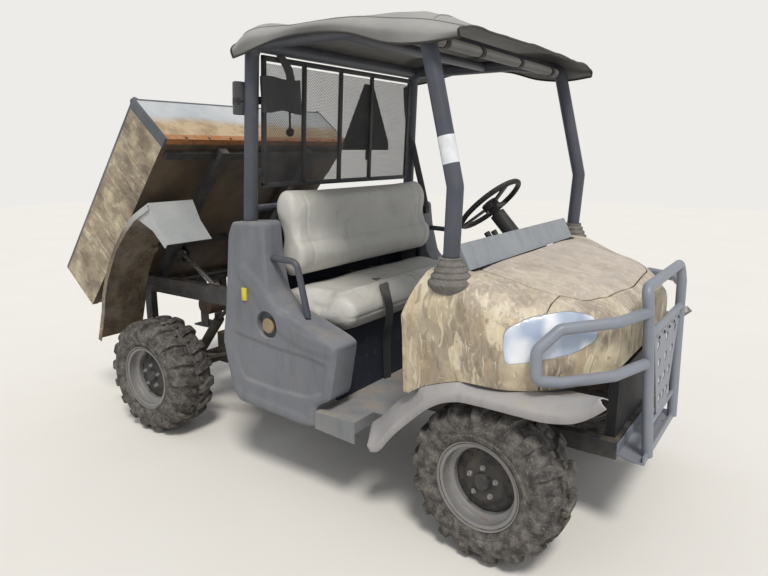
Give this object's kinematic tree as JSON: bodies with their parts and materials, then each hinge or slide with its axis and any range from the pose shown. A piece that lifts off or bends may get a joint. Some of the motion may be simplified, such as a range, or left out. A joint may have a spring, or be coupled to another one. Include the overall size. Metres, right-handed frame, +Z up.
{
  "type": "side by side utility vehicle",
  "caption": "Open two-seat utility vehicle with lugged tyres, cloth canopy on a tube frame, bench seat, tube front guard and a cargo bed tipped by a lift cylinder.",
  "frame": {"origin": "on the ground, under the middle of the overall box with the bed tipped", "axes": "+X to the front of the vehicle, +Y to its left, +Z up"},
  "size_m": [3.1503, 1.49, 1.9753],
  "materials": {
    "frame_paint": "satin, dusty",
    "engine": "cast",
    "axle_iron": "dusty cast iron",
    "spring_steel": "dusty",
    "exhaust": "heat browned",
    "moulded_grey": "faded moulded plastic",
    "seat_box": "dark moulded plastic",
    "seat_vinyl": "worn vinyl",
    "frame_grey": "semi-gloss paint",
    "frame_black": "satin paint",
    "mesh_black": "expanded mesh",
    "sign": "back of a sign",
    "canopy_cloth": "coated cloth",
    "curtain": "rolled coated cloth",
    "controls_black": "moulded",
    "camo_plastic": "printed leaf and bark pattern",
    "camo_steel": "printed leaf and bark pattern",
    "lamp_clear": "lamp cover with reflector",
    "radiator_black": "dusty",
    "boot_rubber": "bellows",
    "fender_grey": "sun-bleached plastic",
    "rod_chrome": "polished",
    "rim_steel": "silver paint",
    "tyre": "dusty"
  },
  "bodies": {
    "chassis": {"main_frame": "frame_paint", "deck_frame": "frame_paint", "deck_crosses": "frame_paint", "frame_brackets": "frame_paint", "engine_block": "engine", "driveline": "axle_iron", "rear_suspension": "spring_steel", "front_suspension": "frame_paint", "muffler": "exhaust", "floor_pan": "moulded_grey", "side_cowl_right": "moulded_grey", "side_cowl_left": "moulded_grey", "seat_base": "seat_box", "seat_cushion": "seat_vinyl", "seat_back": "seat_vinyl", "grab_rails": "frame_grey", "rops_frame": "frame_grey", "rear_screen": "frame_black", "screen_mesh": "mesh_black", "warning_triangle": "sign", "roof_canopy": "canopy_cloth", "rolled_curtains": "curtain", "dash_panel": "moulded_grey", "driver_controls": "controls_black", "front_panels": "camo_plastic", "front_fascia": "camo_plastic", "fender_flares": "moulded_grey", "headlights": "lamp_clear", "radiator": "radiator_black", "front_guard": "frame_grey", "post_boots": "boot_rubber"},
    "wheel_front_right": {"rim_front_right": "rim_steel", "tyre_front_right": "tyre"},
    "wheel_front_left": {"rim_front_left": "rim_steel", "tyre_front_left": "tyre"},
    "wheel_rear_right": {"rim_rear_right": "rim_steel", "tyre_rear_right": "tyre"},
    "wheel_rear_left": {"rim_rear_left": "rim_steel", "tyre_rear_left": "tyre"},
    "knuckle_right": {"knuckle_right": "axle_iron"},
    "knuckle_left": {"knuckle_left": "axle_iron"},
    "steering_wheel": {"steering_wheel": "controls_black"},
    "steering_rack": {"steering_rack": "rod_chrome"},
    "hood": {"hood": "camo_plastic"},
    "bed": {"bed_tub": "camo_steel", "bed_frame": "frame_paint", "bed_fenders": "fender_grey"},
    "tailgate": {"tailgate": "camo_steel"},
    "lift_cylinder": {"lift_cylinder": "frame_paint"},
    "lift_rod": {"lift_rod": "rod_chrome"}
  },
  "joints": [
    {"name": "spin_rear_right", "type": "hinge", "parent": "chassis", "child": "wheel_rear_right", "pos_m": [-0.873, -0.593, 0.306], "axis": [0, 1, 0], "continuous": true},
    {"name": "spin_rear_left", "type": "hinge", "parent": "chassis", "child": "wheel_rear_left", "pos_m": [-0.873, 0.593, 0.306], "axis": [0, 1, 0], "continuous": true},
    {"name": "steer_right", "type": "hinge", "parent": "chassis", "child": "knuckle_right", "pos_m": [1.103, -0.425, 0.306], "axis": [0, 0, 1], "range_deg": [-25.7, 34.3]},
    {"name": "spin_front_right", "type": "hinge", "parent": "knuckle_right", "child": "wheel_front_right", "pos_m": [1.0904, -0.59253, 0.306], "axis": [0.075, 0.9972, 0], "continuous": true},
    {"name": "steer_left", "type": "hinge", "parent": "chassis", "child": "knuckle_left", "pos_m": [1.103, 0.425, 0.306], "axis": [0, 0, 1], "range_deg": [-25.7, 34.3]},
    {"name": "spin_front_left", "type": "hinge", "parent": "knuckle_left", "child": "wheel_front_left", "pos_m": [1.1156, 0.59253, 0.306], "axis": [0.075, 0.9972, 0], "continuous": true},
    {"name": "steering_wheel_turn", "type": "hinge", "parent": "chassis", "child": "steering_wheel", "pos_m": [0.619, 0.31, 1.228], "axis": [-0.682, 0, 0.7314], "range_deg": [-462.7, 617.5]},
    {"name": "rack_slide", "type": "slide", "parent": "chassis", "child": "steering_rack", "axis": [0, 1, 0], "range_m": [-0.0677, 0.0507]},
    {"name": "hood_open", "type": "hinge", "parent": "chassis", "child": "hood", "pos_m": [0.983, 0, 1.048], "axis": [0, -1, 0], "range_deg": [0, 50]},
    {"name": "bed_tilt", "type": "hinge", "parent": "chassis", "child": "bed", "pos_m": [-1.162, 0, 0.755], "axis": [0, 1, 0], "range_deg": [0, 49.9]},
    {"name": "lift_swing", "type": "hinge", "parent": "chassis", "child": "lift_cylinder", "pos_m": [-0.293, -0.285, 0.455], "axis": [0, 1, 0], "range_deg": [-7.36, 0.05]},
    {"name": "lift_stroke", "type": "slide", "parent": "lift_cylinder", "child": "lift_rod", "axis": [-0.8529, 0, 0.522], "range_m": [-0.1348, 0.0002]},
    {"name": "tailgate_open", "type": "hinge", "parent": "bed", "child": "tailgate", "pos_m": [-1.33942, 0, 0.66385], "axis": [0, -1, 0], "range_deg": [0, 90]}
  ],
  "couplings": [
    {"joint": "steer_left", "follows": "steer_right", "ratio": 1},
    {"joint": "steering_wheel_turn", "follows": "steer_right", "ratio": 18},
    {"joint": "rack_slide", "follows": "steer_right", "m_per_rad": -0.11268},
    {"joint": "lift_swing", "follows": "bed_tilt", "ratio": -0.14656},
    {"joint": "lift_stroke", "follows": "bed_tilt", "m_per_rad": -0.15455}
  ]
}
